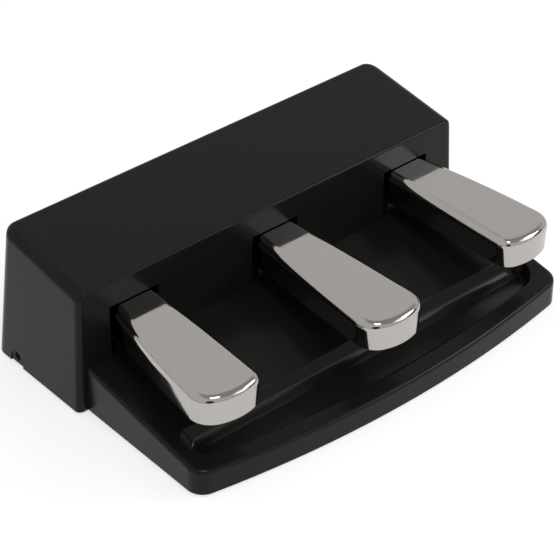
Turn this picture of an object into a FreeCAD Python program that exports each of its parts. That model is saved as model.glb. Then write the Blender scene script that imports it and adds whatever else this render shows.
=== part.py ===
import FreeCAD, Part
import math
import os

# Triple pedal unit: a drafted housing, a low apron in front of it and three levers.
# Lengths are in mm. Pieces are drawn with y = 0 on the housing's front face and z = 0
# on its bottom edge, and moved at the end to the centre of the box at the feet.

# Housing shell, outer sizes
HOUSING_WIDTH = 300.0
HOUSING_DEPTH = 84.67
HOUSING_FRONT_HEIGHT = 81.85
SIDE_DRAFT = 0.054
REAR_LEAN = 0.101
TOP_SLOPE = 0.1325
HOUSING_WALL = 2.8
FRONT_CORNER_R = 3.8
REAR_CORNER_R = 9.0
INNER_ROUND_MIN = 0.5
TOP_SIDE_R = 6.0
TOP_REAR_R = 3.0
TOP_FRONT_R = 1.5

# Cord notch in the left wall and the rubber gland in it
NOTCH_WIDTH = 12.0
NOTCH_HEIGHT = 9.0
NOTCH_REAR_INSET = 22.67
GLAND_CLEAR = 0.2
GLAND_RECESS = 0.8
GLAND_FLANGE = 2.5
GLAND_FLANGE_LIP = 2.6
CORD_BORE_R = 2.75

# Apron in front of the housing. Its front edge bows forward between the corners.
APRON_INSET = 6.8
APRON_REACH = 115.87
APRON_BOW = 13.85420
APRON_CORNER_R = 11.0
APRON_HEIGHT = 31.2
APRON_SLOPE = 0.144
APRON_EDGE_R = 2.4
APRON_WALL = 2.5
APRON_GAP = 0.3
RIB_THICKNESS = 1.6

# Trough in the apron under the pedal tips
TROUGH_INSET = 11.0
TROUGH_CORNER_R = 15.0
TROUGH_REAR_INSET = 45.87
TROUGH_WALL_RUN = 6.4
TROUGH_VALLEY_Z = 10.7
TROUGH_FLOOR_SLOPE = 0.14
TROUGH_WALL_LEAN = 0.45
TROUGH_VALLEY_R = 8.0
TROUGH_REAR_CORNER_R = 10.0
TROUGH_FLOOR_R = 3.0
TROUGH_EDGE_R = 1.0
TROUGH_FUNNEL_DROP = 6.0
TROUGH_FUNNEL_RISE = 2.0
TROUGH_FUNNEL_REACH = 25.0

# Bottom plate and feet
PLATE_LIFT = 0.5
PLATE_THICKNESS = 1.6
PLATE_CLEAR = 0.5
FOOT_R = 8.0
FOOT_HEIGHT = 2.0
FOOT_BEVEL = 0.5
FOOT_SIDE_INSET = 27.0
FOOT_REAR_INSET = 12.0
FOOT_FRONT_INSET = 20.0
FOOT_SIDE_SETBACK = 12.0

# Screws: thread radius, head radius, head height, and the clearances around them
PLATE_SCREW_R = 1.5
PLATE_SCREW_HEAD_R = 2.9
PLATE_SCREW_HEAD = 1.2
COVER_SCREW_LENGTH = 12.0
APRON_SCREW_LENGTH = 6.5
FRAME_SCREW_R = 2.0
FRAME_SCREW_HEAD_R = 3.8
FRAME_SCREW_TIP = 1.5
LEVER_SCREW_R = 2.0
LEVER_SCREW_HEAD_R = 3.6
LEVER_SCREW_LENGTH = 9.0
LEVER_DRIVE_R = 1.2
LEVER_DRIVE_DEPTH = 1.0
BOARD_SCREW_R = 1.25
BOARD_SCREW_HEAD_R = 2.4
BOARD_SCREW_HEAD = 1.6
BOARD_SCREW_LENGTH = 7.0
THREAD_CLEAR = 0.05
HOLE_CLEAR = 0.3
SCREW_TIP_ROOM = 0.5
SCREW_HEAD_ROUND = 0.6
BOSS_R = 4.0
COVER_BOSS_SIDE = 14.0
COVER_BOSS_FRONT = 15.0
COVER_BOSS_REAR = 10.67
APRON_BOSS_SIDE = 19.2
APRON_BOSS_REAR = 28.0
APRON_BOSS_MIDDLE = 14.0
APRON_BOSS_FRONT = 17.87
APRON_BOSS_FRONT_X = 70.0

# Pedals: half widths at the wall and at one and two stations in front of it
PEDAL_SIDE_INSET = 43.6
PEDAL_STATION_INSET = 35.87
NECK_HALF = 16.1
MIDDLE_HALVES = (19.35, 22.05)
INNER_HALVES = (15.2, 13.8)
OUTER_HALVES = (24.4, 30.1)
MIDDLE_TIP_INSET = 2.27
OUTER_TIP_INSET = 11.47
OUTER_TIP_SHIFT = 6.2
MIDDLE_TIP_R = 36.0
OUTER_TIP_R = 38.0
TIP_CORNER_R = 14.5
INNER_CORNER_R = 10.0
PEDAL_TOP_AT_WALL = 64.5
PEDAL_SLOPE = 0.0155
NECK_SKIRT = 22.5
TIP_SKIRT = 18.2
SIDE_SKIRT_DRAFT = 1.6
TIP_SKIRT_DRAFT = 0.1
PEDAL_WALL = 2.2
PEDAL_PLATE = 2.5
PEDAL_SIDE_EDGE_R = 5.5
PEDAL_TIP_EDGE_R = 4.3
SHANK_REAR_Y = 34.0
SLOT_SIDE_CLEAR = 1.9
SLOT_TOP_CLEAR = 0.8
SLOT_CORNER_R = 1.5

# Pivot of each pedal and its travel
PIVOT_REAR_INSET = 26.67
PIVOT_Z = 55.0
TRAVEL_DEG = 6.0
PIN_R = 3.5
PIN_RUNNING = 0.05
PIN_FIXED = 0.02
PIN_HEAD_R = 5.5
PIN_HEAD = 2.0
PIN_TAIL = 3.0
PIN_GROOVE_DEPTH = 0.8
PIN_GROOVE_OFFSET = 0.2
CLIP_THICKNESS = 0.9
CLIP_CLEAR = 0.05
CLIP_LIP = 2.0
CLIP_MOUTH_HALF = 1.8
BUSH_WALL = 1.5
HUB_WALL = 3.0
HUB_SIDE_CLEAR = 0.3
BUSH_LIP = 0.2

# Lever arm under each pedal
ARM_HALF = 10.0
ARM_HEIGHT = 8.0
ARM_FRONT_Y = -20.0
ARM_TAIL = 14.0
LEVER_SCREW_YS = (19.5, 28.5)

# Frame that carries one lever
FRAME_THICKNESS = 2.0
FRAME_BASE = 2.5
FRAME_FRONT_Y = 5.0
FRAME_POST = 11.0
FRAME_INNER_HALF = 19.5
FRAME_RAIL_HEIGHT = 16.0
FRAME_EAR = 13.0
FRAME_EAR_R = 8.0
FRAME_EAR_SETBACK = 2.0
FRAME_SCREW_X = 15.0
FRAME_SCREW_INSET = 5.0

# Stops and return spring
FELT_THICKNESS = 4.0
FELT_HALF = 10.0
STOP_CLEAR = 0.05
CUSHION_THICKNESS = 5.0
CUSHION_HALF = 8.0
CUSHION_DEPTH = 12.0
BLOCK_HALF = 10.0
BLOCK_SLAB = 3.4
BLOCK_SETBACK = 1.0
BLOCK_PEG_R = 2.0
SPRING_Y = 31.0
SPRING_SEAT_Z = 24.0
SPRING_MEAN_R = 7.0
SPRING_WIRE_R = 1.1
SPRING_TURNS = 7.5
SPRING_END_GAP = 0.6
SPRING_END_HALVES = 2
SPRING_SAMPLES = 8
SPRING_SPIGOT = 5.0
SPRING_SPIGOT_CLEAR = 0.5

# Circuit board with one light sensor per lever, and the flags that shade them
BOARD_Z = 12.0
BOARD_THICKNESS = 1.6
BOARD_DEPTH = 16.0
BOARD_SIDE_INSET = 26.0
BOARD_WALL_CLEAR = 1.0
SPACER_R = 3.0
SPACER_RIVET_R = 2.0
SPACER_INSET = 5.5
SENSOR_HALF = 7.0
SENSOR_DEPTH = 7.0
SENSOR_BASE = 3.0
SENSOR_PRONG = 3.0
SENSOR_SLOT = 4.0
SENSOR_HEIGHT = 11.4
FLAG_THICKNESS = 1.2
FLAG_FOOT = 1.6
FLAG_FOOT_HALF = 7.0
FLAG_WIDTH = 5.0
FLAG_PEG_R = 1.5
FLAG_PEG_LENGTH = 4.0
FLAG_GUSSET_HALF = 4.2
FLAG_GUSSET_DROP = 8.4
FLAG_CLEAR = 1.0
HEADER_OFFSET = 22.4
HEADER_SIZE = (12.0, 8.0, 8.0)
HEADER_WALL = 0.8
HEADER_PIN_R = 0.35
HEADER_PIN_PITCH = 2.4
HEADER_PIN_DROP = 1.5

# Sizes that follow from the values above
PEDAL_PITCH = HOUSING_WIDTH / 2 - PEDAL_SIDE_INSET
PEDAL_STATION = (APRON_REACH - PEDAL_STATION_INSET) / 2
PIVOT_Y = HOUSING_DEPTH - PIVOT_REAR_INSET
NOTCH_Y = HOUSING_DEPTH - NOTCH_REAR_INSET
TROUGH_REAR_Y = TROUGH_REAR_INSET - APRON_REACH
TROUGH_VALLEY_Y = TROUGH_REAR_Y - TROUGH_WALL_RUN
MIDDLE_TIP_Y = MIDDLE_TIP_INSET - APRON_REACH
OUTER_TIP_Y = OUTER_TIP_INSET - APRON_REACH
FOOT_DROP = FOOT_HEIGHT - PLATE_LIFT
PLATE_TOP = PLATE_LIFT + PLATE_THICKNESS
APRON_HALF = HOUSING_WIDTH / 2 - APRON_INSET
APRON_FRONT_R = (APRON_HALF ** 2 + APRON_BOW ** 2) / (2 * APRON_BOW)
FRAME_TOP = PLATE_TOP + FRAME_BASE
FRAME_HALF = FRAME_INNER_HALF + FRAME_THICKNESS
FRAME_REAR_Y = PIVOT_Y + FRAME_EAR / 2 - FRAME_EAR_SETBACK
TILT_DEG = math.degrees(math.atan(PEDAL_SLOPE))
PEDAL_TOP = PIVOT_Z + (PEDAL_TOP_AT_WALL + PEDAL_SLOPE * PIVOT_Y - PIVOT_Z) * math.cos(math.atan(PEDAL_SLOPE))
ARM_TOP = PEDAL_TOP - PEDAL_PLATE
ARM_BOTTOM = ARM_TOP - ARM_HEIGHT
ARM_REAR_Y = PIVOT_Y + ARM_TAIL
HUB_HALF = FRAME_INNER_HALF - HUB_SIDE_CLEAR - BUSH_LIP
BUSH_R = PIN_R + PIN_RUNNING + BUSH_WALL
HUB_R = BUSH_R + HUB_WALL
BOARD_TOP = BOARD_Z + BOARD_THICKNESS
BOARD_REAR_Y = HOUSING_DEPTH - REAR_LEAN * BOARD_TOP - HOUSING_WALL - BOARD_WALL_CLEAR
BOARD_MID_Y = BOARD_REAR_Y - BOARD_DEPTH / 2
SLOT_HALF = NECK_HALF + SLOT_SIDE_CLEAR
ORIGIN_SHIFT = FreeCAD.Vector(0, (APRON_REACH - HOUSING_DEPTH) / 2, FOOT_DROP)
SIDES = {"left": -1, "middle": 0, "right": 1}
COVER_BOSS_X = HOUSING_WIDTH / 2 - COVER_BOSS_SIDE
COVER_BOSS_YS = (COVER_BOSS_FRONT, HOUSING_DEPTH - COVER_BOSS_REAR)
COVER_BOSSES = [(x, y) for x in (-COVER_BOSS_X, COVER_BOSS_X) for y in COVER_BOSS_YS]
COVER_BOSSES += [(s * PEDAL_PITCH / 2, HOUSING_DEPTH / 2) for s in (-1, 1)]
APRON_BOSSES = [(s * (APRON_HALF - APRON_BOSS_SIDE), -APRON_BOSS_REAR) for s in (-1, 1)]
APRON_BOSSES += [(s * PEDAL_PITCH / 2, -APRON_BOSS_MIDDLE) for s in (-1, 1)]
APRON_BOSSES += [(s * APRON_BOSS_FRONT_X, APRON_BOSS_FRONT - APRON_REACH) for s in (-1, 1)]
RIB_XS = [k * PEDAL_PITCH / 4 for k in (-3, -1, 1, 3)]
BOARD_HALF = HOUSING_WIDTH / 2 - BOARD_SIDE_INSET
SPACER_XS = (SPACER_INSET - BOARD_HALF, -PEDAL_PITCH / 2, PEDAL_PITCH / 2, BOARD_HALF - SPACER_INSET)
HEADER_X = HEADER_OFFSET - PEDAL_PITCH

# Reach of helper shapes past what they cut, and how near counts as touching
BIG = 200.0
CUT_OVER = 1.0
CUT_FAR = 5.0
TOUCH = 0.01

V = FreeCAD.Vector


def box(x0, x1, y0, y1, z0, z1):
    return Part.makeBox(x1 - x0, y1 - y0, z1 - z0, V(x0, y0, z0))


def rodX(x0, x1, y, z, r):
    return Part.makeCylinder(r, x1 - x0, V(x0, y, z), V(1, 0, 0))


def rodZ(x, y, z0, z1, r):
    return Part.makeCylinder(r, z1 - z0, V(x, y, z0), V(0, 0, 1))


def prismX(points, x0, x1):
    # A closed outline given as (y, z) points, drawn out along x.
    ring = [V(x0, y, z) for y, z in points]
    return Part.Face(Part.makePolygon(ring + ring[:1])).extrude(V(x1 - x0, 0, 0))


def fuse(shapes):
    return shapes[0].multiFuse(shapes[1:]).removeSplitter()


def group(solids):
    return Part.makeCompound(solids)


def roundEdges(shape, rules):
    # rules gives a radius, or a radius for each end, for an edge, or None to leave it.
    doc = FreeCAD.newDocument()
    base = doc.addObject("Part::Feature")
    base.Shape = shape
    step = doc.addObject("Part::Fillet")
    step.Base = base
    wanted = []
    for i, edge in enumerate(shape.Edges):
        radius = rules(edge)
        if radius is not None:
            start, end = radius if isinstance(radius, tuple) else (radius, radius)
            wanted.append((i + 1, start, end))
    step.Edges = wanted
    doc.recompute()
    result = step.Shape.copy()
    FreeCAD.closeDocument(doc.Name)
    return result


def middle(edge):
    return edge.valueAt((edge.FirstParameter + edge.LastParameter) / 2)


def runsAlongY(edge):
    return abs(edge.tangentAt(edge.FirstParameter).y) > 1 - TOUCH


# Housing
def sideX(z):
    return HOUSING_WIDTH / 2 - SIDE_DRAFT * z


def topZ(y):
    return HOUSING_FRONT_HEIGHT + TOP_SLOPE * y


def housingBlock(inset, z0):
    # Six flat sides, each moved inward by inset, from z0 to the sloping top.
    sideInset = inset * math.hypot(1, SIDE_DRAFT)
    rearInset = inset * math.hypot(1, REAR_LEAN)
    topInset = inset * math.hypot(1, TOP_SLOPE)
    rearY = HOUSING_DEPTH - rearInset
    topRearZ = (topZ(rearY) - topInset) / (1 + TOP_SLOPE * REAR_LEAN)
    topFrontZ = topZ(inset) - topInset

    def ring(corners):
        return [V(s * (sideX(z) - sideInset), y, z) for s, y, z in corners]

    lowRearY = rearY - REAR_LEAN * z0
    topRearY = rearY - REAR_LEAN * topRearZ
    low = ring([(-1, inset, z0), (1, inset, z0), (1, lowRearY, z0), (-1, lowRearY, z0)])
    high = ring([(-1, inset, topFrontZ), (1, inset, topFrontZ), (1, topRearY, topRearZ),
                 (-1, topRearY, topRearZ)])
    faces = [low[::-1], high]
    for i in range(4):
        j = (i + 1) % 4
        faces.append([low[i], low[j], high[j], high[i]])
    shell = Part.makeShell([Part.Face(Part.makePolygon(f + f[:1])) for f in faces])
    return Part.makeSolid(shell)


def roundedHousing(inset, z0):
    block = housingBlock(inset, z0)
    frontY = inset

    def radius(edge):
        a, b = edge.Vertexes[0].Point, edge.Vertexes[-1].Point
        m = middle(edge)
        if abs(a.z - b.z) > HOUSING_FRONT_HEIGHT / 2:
            return (FRONT_CORNER_R if m.y < HOUSING_DEPTH / 2 else REAR_CORNER_R) - inset
        if m.z < HOUSING_FRONT_HEIGHT / 2:
            return None
        if abs(a.x - b.x) > HOUSING_WIDTH / 2:
            return max((TOP_FRONT_R if m.y < frontY + 1 else TOP_REAR_R) - inset, INNER_ROUND_MIN)
        return TOP_SIDE_R - inset

    return roundEdges(block, radius)


def archX(x0, x1, y, width, height, z0):
    # A round-headed opening that runs along x.
    r = width / 2
    legs = box(x0, x1, y - r, y + r, z0, height - r)
    head = rodX(x0, x1, y, height - r, r).common(box(x0, x1, y - r, y + r, height - r, height))
    return fuse([legs, head])


def housingCover():
    outer = roundedHousing(0, 0)
    shell = outer.cut(roundedHousing(HOUSING_WALL, -CUT_OVER))
    for side in SIDES.values():
        c = side * PEDAL_PITCH
        window = box(c - SLOT_HALF, c + SLOT_HALF, -CUT_OVER, HOUSING_WALL + CUT_OVER, APRON_HEIGHT,
                     PEDAL_TOP_AT_WALL + SLOT_TOP_CLEAR)
        window = roundEdges(window, lambda e: SLOT_CORNER_R if runsAlongY(e) else None)
        shell = shell.cut(window)
    half = APRON_HALF - APRON_WALL
    inner = HOUSING_WALL + CUT_OVER
    shell = shell.cut(box(-half, half, -CUT_OVER, inner, -CUT_OVER, PLATE_TOP + PLATE_CLEAR))
    left = -HOUSING_WIDTH / 2
    notch = archX(left - CUT_OVER, left + inner + CUT_OVER, NOTCH_Y, NOTCH_WIDTH, NOTCH_HEIGHT, -CUT_OVER)
    shell = shell.cut(notch)
    bosses = [rodZ(x, y, PLATE_TOP, topZ(y), BOSS_R).common(outer) for x, y in COVER_BOSSES]
    tipZ = PLATE_LIFT + COVER_SCREW_LENGTH + SCREW_TIP_ROOM
    holes = [rodZ(x, y, PLATE_TOP - CUT_OVER, tipZ, PLATE_SCREW_R) for x, y in COVER_BOSSES]
    return fuse([shell] + bosses).cut(group(holes))


# Apron
def apronZ(y):
    return APRON_HEIGHT + APRON_SLOPE * y


def roundedOutline(half, reach, frontR, cornerR, rearY, rearR, z):
    # Straight sides, a shallow front arc, rounded front corners and, if rearR is set, rear ones.
    centreY = -reach + frontR
    cx = half - cornerR
    cy = centreY - math.sqrt((frontR - cornerR) ** 2 - cx ** 2)
    scale = frontR / (frontR - cornerR)
    tangent = V(cx * scale, centreY + (cy - centreY) * scale, z)
    toward = V(tangent.x - cx, tangent.y - cy, 0).normalize()
    bisector = (toward + V(1, 0, 0)).normalize()

    def flip(p):
        return V(-p.x, p.y, p.z)

    side = V(half, cy, z)
    mid = V(cx, cy, z) + bisector * cornerR
    apex = V(0, -reach, z)
    edges = [Part.Arc(flip(side), flip(mid), flip(tangent)).toShape(),
             Part.Arc(flip(tangent), apex, tangent).toShape(),
             Part.Arc(tangent, mid, side).toShape()]
    if rearR:
        rearSide = V(half, rearY - rearR, z)
        rearTop = V(half - rearR, rearY, z)
        k = rearR * (1 - math.sqrt(0.5))
        rearMid = V(half - k, rearY - k, z)
        edges += [Part.makeLine(side, rearSide),
                  Part.Arc(rearSide, rearMid, rearTop).toShape(),
                  Part.makeLine(rearTop, flip(rearTop)),
                  Part.Arc(flip(rearTop), flip(rearMid), flip(rearSide)).toShape(),
                  Part.makeLine(flip(rearSide), flip(side))]
    else:
        corner = V(half, rearY, z)
        edges += [Part.makeLine(side, corner),
                  Part.makeLine(corner, flip(corner)),
                  Part.makeLine(flip(corner), flip(side))]
    return Part.Wire(Part.__sortEdges__(edges))


def apronPrism(inset, rearY, z0, z1):
    wire = roundedOutline(APRON_HALF - inset, APRON_REACH - inset, APRON_FRONT_R - inset,
                          APRON_CORNER_R - inset, rearY, 0, z0)
    return Part.Face(wire).extrude(V(0, 0, z1 - z0))


def underApronTop(drop, x):
    # Everything under the sloping top, lowered by drop.
    front, rear = -BIG, BIG
    outline = [(front, -BIG), (rear, -BIG), (rear, apronZ(rear) - drop), (front, apronZ(front) - drop)]
    return prismX(outline, -x, x)


def troughCutter(grow):
    # The basin: a ruled funnel for its sides, cut by a long section for wall, valley and floor.
    rimZ = apronZ(-APRON_REACH + TROUGH_INSET)

    def ring(z):
        spread = (z - rimZ) * TROUGH_WALL_LEAN + grow
        inset = TROUGH_INSET - spread
        return roundedOutline(APRON_HALF - inset, APRON_REACH - inset, APRON_FRONT_R - inset,
                              TROUGH_CORNER_R + spread, TROUGH_REAR_Y + TROUGH_FUNNEL_REACH, 0, z)

    lowZ = TROUGH_VALLEY_Z - TROUGH_FUNNEL_DROP
    highZ = APRON_HEIGHT + TROUGH_FUNNEL_RISE
    funnel = Part.makeLoft([ring(lowZ), ring(highZ)], True, True)
    runFront = -APRON_REACH - CUT_FAR
    floorFront = TROUGH_VALLEY_Z + TROUGH_FLOOR_SLOPE * (TROUGH_VALLEY_Y - runFront)
    rise = (apronZ(TROUGH_REAR_Y) - TROUGH_VALLEY_Z) / (TROUGH_REAR_Y - TROUGH_VALLEY_Y)
    rearTopZ = highZ + CUT_OVER
    rearTopY = TROUGH_REAR_Y + (rearTopZ - apronZ(TROUGH_REAR_Y)) / rise
    section = prismX([(runFront, floorFront - grow), (TROUGH_VALLEY_Y + grow / 2, TROUGH_VALLEY_Z - grow),
                      (rearTopY + grow, rearTopZ), (runFront, rearTopZ)], -BIG, BIG)
    basin = funnel.common(section)
    if grow:
        return basin

    def radius(edge):
        m = middle(edge)
        a, b = edge.Vertexes[0].Point, edge.Vertexes[-1].Point
        if abs(m.z - TROUGH_VALLEY_Z) < 0.2 and abs(a.x - b.x) > APRON_HALF:
            return TROUGH_VALLEY_R
        if m.y > TROUGH_VALLEY_Y and abs(a.z - b.z) > (highZ - lowZ) / 2:
            return TROUGH_REAR_CORNER_R
        return TROUGH_FLOOR_R if max(a.z, b.z) < rimZ else None

    return roundEdges(basin, radius)


def apron():
    rearY = -APRON_GAP
    block = apronPrism(0, rearY, 0, APRON_HEIGHT + CUT_FAR).common(underApronTop(0, BIG))

    def topEdge(edge):
        m = middle(edge)
        a, b = edge.Vertexes[0].Point, edge.Vertexes[-1].Point
        onTop = abs(a.z - apronZ(a.y)) < 0.01 and abs(b.z - apronZ(b.y)) < 0.01
        return APRON_EDGE_R if onTop and m.y < rearY - 0.01 else None

    block = roundEdges(block, topEdge)
    block = block.cut(troughCutter(0))

    def rearLip(edge):
        a, b = edge.Vertexes[0].Point, edge.Vertexes[-1].Point
        flat = abs(a.x - b.x) > APRON_HALF and abs(a.y - b.y) < 0.01
        return TROUGH_EDGE_R if flat and abs(a.y - TROUGH_REAR_Y) < 0.5 else None

    block = roundEdges(block, rearLip)
    room = apronPrism(APRON_WALL, CUT_OVER, -CUT_OVER, APRON_HEIGHT + CUT_FAR)
    room = room.common(underApronTop(APRON_WALL, BIG)).cut(troughCutter(APRON_WALL))
    inside = room.cut(box(-BIG, BIG, -BIG, BIG, -BIG, PLATE_TOP))
    inside = inside.common(box(-BIG, BIG, -BIG, rearY, -BIG, BIG))
    ribZ = PLATE_TOP + PLATE_CLEAR
    ribHalf = RIB_THICKNESS / 2
    ribs = [box(x - ribHalf, x + ribHalf, TROUGH_REAR_Y, rearY, ribZ, BIG) for x in RIB_XS]
    bosses = [rodZ(x, y, PLATE_TOP, APRON_HEIGHT, BOSS_R) for x, y in APRON_BOSSES]
    filled = [piece.common(inside) for piece in ribs + bosses]
    tipZ = PLATE_LIFT + APRON_SCREW_LENGTH + SCREW_TIP_ROOM
    holes = [rodZ(x, y, PLATE_TOP - CUT_OVER, tipZ, PLATE_SCREW_R) for x, y in APRON_BOSSES]
    return fuse([block.cut(room)] + filled).cut(group(holes))


# Bottom plate, feet and the screws through the plate
def frameScrewPoints(c):
    frontY = FRAME_FRONT_Y + FRAME_SCREW_INSET
    rearY = FRAME_REAR_Y - FRAME_SCREW_INSET
    return [(c + dx, y) for dx in (-FRAME_SCREW_X, FRAME_SCREW_X) for y in (frontY, rearY)]


def allFrameScrews():
    return [p for side in SIDES.values() for p in frameScrewPoints(side * PEDAL_PITCH)]


def plateHalf():
    return sideX(PLATE_TOP) - HOUSING_WALL - PLATE_CLEAR


def bottomPlate():
    half = plateHalf()
    rearY = HOUSING_DEPTH - REAR_LEAN * PLATE_TOP - HOUSING_WALL - PLATE_CLEAR
    under = box(-half, half, HOUSING_WALL + PLATE_CLEAR, rearY, PLATE_LIFT, PLATE_TOP)
    cornerR = REAR_CORNER_R - HOUSING_WALL

    def rearCorner(edge):
        upright = abs(edge.tangentAt(edge.FirstParameter).z) > 1 - TOUCH
        return cornerR if upright and middle(edge).y > HOUSING_DEPTH / 2 else None

    under = roundEdges(under, rearCorner)
    front = apronPrism(APRON_WALL + PLATE_CLEAR, HOUSING_WALL + PLATE_CLEAR + CUT_OVER, PLATE_LIFT, PLATE_TOP)
    plate = fuse([under, front])
    holes = [rodZ(x, y, 0, FRAME_TOP, PLATE_SCREW_R + HOLE_CLEAR) for x, y in COVER_BOSSES + APRON_BOSSES]
    holes += [rodZ(x, y, 0, FRAME_TOP, FRAME_SCREW_R + HOLE_CLEAR) for x, y in allFrameScrews()]
    holes += [rodZ(x, BOARD_MID_Y, 0, FRAME_TOP, SPACER_RIVET_R + THREAD_CLEAR) for x in SPACER_XS]
    return plate.cut(group(holes))


def rubberFeet():
    x = HOUSING_WIDTH / 2 - FOOT_SIDE_INSET
    rearY = HOUSING_DEPTH - FOOT_REAR_INSET
    frontY = -APRON_REACH + FOOT_FRONT_INSET
    sideY = frontY + FOOT_SIDE_SETBACK
    feet = []
    for fx, fy in [(-x, rearY), (0, rearY), (x, rearY), (-x, sideY), (0, frontY), (x, sideY)]:
        foot = rodZ(fx, fy, -FOOT_DROP, PLATE_LIFT, FOOT_R)
        low = [e for e in foot.Edges if middle(e).z < -FOOT_DROP + 0.01 and e.Length > FOOT_R]
        feet.append(foot.makeChamfer(FOOT_BEVEL, low))
    return group(feet)


def panScrew(x, y, faceZ, headR, head, r, length):
    # Head under faceZ and thread above it.
    top = rodZ(x, y, faceZ - head, faceZ, headR)
    rim = [e for e in top.Edges if middle(e).z < faceZ - head + 0.01 and e.Length > headR]
    top = top.makeFillet(head * SCREW_HEAD_ROUND, rim)
    return fuse([top, rodZ(x, y, faceZ, faceZ + length, r - THREAD_CLEAR)])


def plateScrews(points, length):
    return group([panScrew(x, y, PLATE_LIFT, PLATE_SCREW_HEAD_R, PLATE_SCREW_HEAD, PLATE_SCREW_R, length)
                  for x, y in points])


def frameScrews():
    length = PLATE_THICKNESS + FRAME_BASE + FRAME_SCREW_TIP
    return group([panScrew(x, y, PLATE_LIFT, FRAME_SCREW_HEAD_R, PLATE_SCREW_HEAD, FRAME_SCREW_R, length)
                  for x, y in allFrameScrews()])


# Moving pieces are drawn level and tipped about the pivot to the slope they rest at
def tip(shape, degrees):
    turned = shape.copy()
    turned.rotate(V(0, PIVOT_Y, PIVOT_Z), V(1, 0, 0), degrees)
    return turned


def tippedZ(y, z, degrees):
    # Height of a level point after the lever is tipped, with y measured on the tipped lever.
    a = math.radians(degrees)
    return PIVOT_Z + (y - PIVOT_Y) * math.tan(a) + (z - PIVOT_Z) / math.cos(a)


# Pedal outline
def tipCorner(point, direction, sign, centre, frontR, cornerR):
    # Arc that leaves a straight side and meets the front arc, both tangent.
    along = V(direction.x, direction.y, 0).normalize()
    inward = V(-along.y, along.x, 0) * sign
    start = point + inward * cornerR - centre
    reach = frontR - cornerR
    b = start.x * along.x + start.y * along.y
    c = start.x ** 2 + start.y ** 2 - reach ** 2
    t = -b + math.sqrt(b * b - c)
    middlePoint = point + inward * cornerR + along * t
    onSide = middlePoint - inward * cornerR
    outward = (middlePoint - centre).normalize()
    onFront = centre + outward * frontR
    bulge = (outward - inward).normalize()
    return onSide, middlePoint + bulge * cornerR, onFront


def pedalHalves(side):
    # Half widths on the -x and +x sides at the two stations.
    if side == 0:
        return MIDDLE_HALVES, MIDDLE_HALVES
    return INNER_HALVES, OUTER_HALVES


def pedalWire(side, inset, noseInset, z, rearY):
    low, high = pedalHalves(side)
    tipY = MIDDLE_TIP_Y if side == 0 else OUTER_TIP_Y
    tipR = MIDDLE_TIP_R if side == 0 else OUTER_TIP_R
    shift = 0 if side == 0 else OUTER_TIP_SHIFT
    centre = V(shift, tipY + tipR, z)
    cornerLow = TIP_CORNER_R if side == 0 else INNER_CORNER_R

    def edge(s, halves, cornerR):
        near, far = halves
        a = V(s * (NECK_HALF - inset), 0, z)
        m = V(s * (near - inset), -PEDAL_STATION, z)
        b = V(s * (far - inset), -2 * PEDAL_STATION, z)
        arc = Part.Arc(a, m, b)
        run = arc.tangent(arc.LastParameter)[0]
        onSide, mid, onFront = tipCorner(b, run, -s, centre, tipR - noseInset, cornerR - noseInset)
        back = V(s * (NECK_HALF - inset), rearY, z)
        lines = [Part.makeLine(back, a), arc.toShape(), Part.makeLine(b, onSide),
                 Part.Arc(onSide, mid, onFront).toShape()]
        return lines, back, onFront

    linesLow, backLow, frontLow = edge(-1, low, cornerLow)
    linesHigh, backHigh, frontHigh = edge(1, high, TIP_CORNER_R)
    apex = V(shift, tipY + noseInset, z)
    edges = linesLow + linesHigh
    edges += [Part.Arc(frontLow, apex, frontHigh).toShape(), Part.makeLine(backHigh, backLow)]
    return Part.Wire(Part.__sortEdges__(edges))


def pedalBlock(side, inset, topZ, rearY):
    lowZ = PEDAL_TOP - NECK_SKIRT - CUT_FAR
    share = (PEDAL_TOP - lowZ) / TIP_SKIRT
    rings = [pedalWire(side, inset + SIDE_SKIRT_DRAFT * share, inset + TIP_SKIRT_DRAFT * share, lowZ, rearY),
             pedalWire(side, inset, inset, PEDAL_TOP, rearY)]
    block = Part.makeLoft(rings, True, True)
    return block.common(box(-BIG, BIG, -BIG, BIG, lowZ - CUT_OVER, topZ))


def mirrored(shape, side):
    # The outer pedals are drawn for the right and mirrored for the left.
    return shape.mirror(V(0, 0, 0), V(1, 0, 0)) if side < 0 else shape


def placed(shape, side):
    moved = shape.copy()
    moved.translate(V(side * PEDAL_PITCH, 0, 0))
    return moved


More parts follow.
